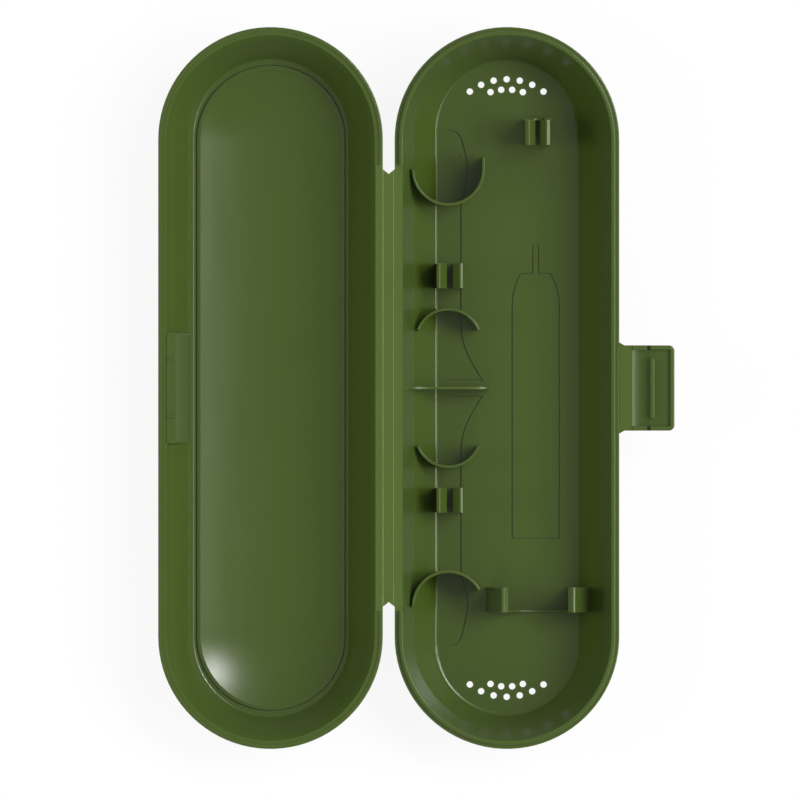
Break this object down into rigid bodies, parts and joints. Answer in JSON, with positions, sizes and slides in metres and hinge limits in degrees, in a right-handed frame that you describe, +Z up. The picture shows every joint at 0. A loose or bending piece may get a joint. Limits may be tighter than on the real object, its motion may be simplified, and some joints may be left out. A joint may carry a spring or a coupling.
{
  "type": "electric toothbrush travel case",
  "caption": "Long oval hard case for an electric toothbrush and spare brush heads, opened flat on its side hinge, with a fold-over latch tab",
  "frame": {"origin": "centre of the base half's flat underside", "axes": "+Y along the case, +X from the lid across the base to its latch tab, +Z up out of the open case"},
  "size_m": [0.1609, 0.225, 0.0225],
  "materials": {
    "case_plastic": "glossy moulded polypropylene, olive green",
    "web_plastic": "thin folding polypropylene web, olive green"
  },
  "bodies": {
    "base": {"base_shell": "case_plastic", "base_rim_lip": "case_plastic", "brush_end_cradle_upper": "case_plastic", "brush_end_cradle_lower": "case_plastic", "brush_mid_cradle_upper": "case_plastic", "brush_mid_cradle_lower": "case_plastic", "brush_divider": "case_plastic", "brush_clip_upper_left": "case_plastic", "brush_clip_upper_right": "case_plastic", "brush_clip_lower_left": "case_plastic", "brush_clip_lower_right": "case_plastic", "neck_clip_left": "case_plastic", "neck_clip_right": "case_plastic", "neck_saddle": "case_plastic", "handle_clip_left": "case_plastic", "handle_clip_right": "case_plastic", "handle_saddle": "case_plastic", "hinge_leaf_base": "web_plastic", "hinge_film": "web_plastic", "latch_film": "web_plastic"},
    "lid": {"lid_shell": "case_plastic", "lid_panel": "case_plastic", "lid_catch": "case_plastic", "lid_locating_ribs": "case_plastic", "hinge_leaf_lid": "web_plastic"},
    "latch": {"latch_plate": "case_plastic", "latch_border": "case_plastic", "latch_side_rails": "case_plastic", "latch_catch_rib": "case_plastic"}
  },
  "joints": [
    {"name": "lid_hinge", "type": "hinge", "parent": "base", "child": "lid", "pos_m": [-0.03685, 0, 0.0214], "axis": [0, 1, 0], "range_deg": [0, 180], "deforming": ["hinge_film"]},
    {"name": "latch_hinge", "type": "hinge", "parent": "base", "child": "latch", "pos_m": [0.03705, 0, 0.02075], "axis": [0, -1, 0], "range_deg": [0, 105], "deforming": ["latch_film"]}
  ]
}
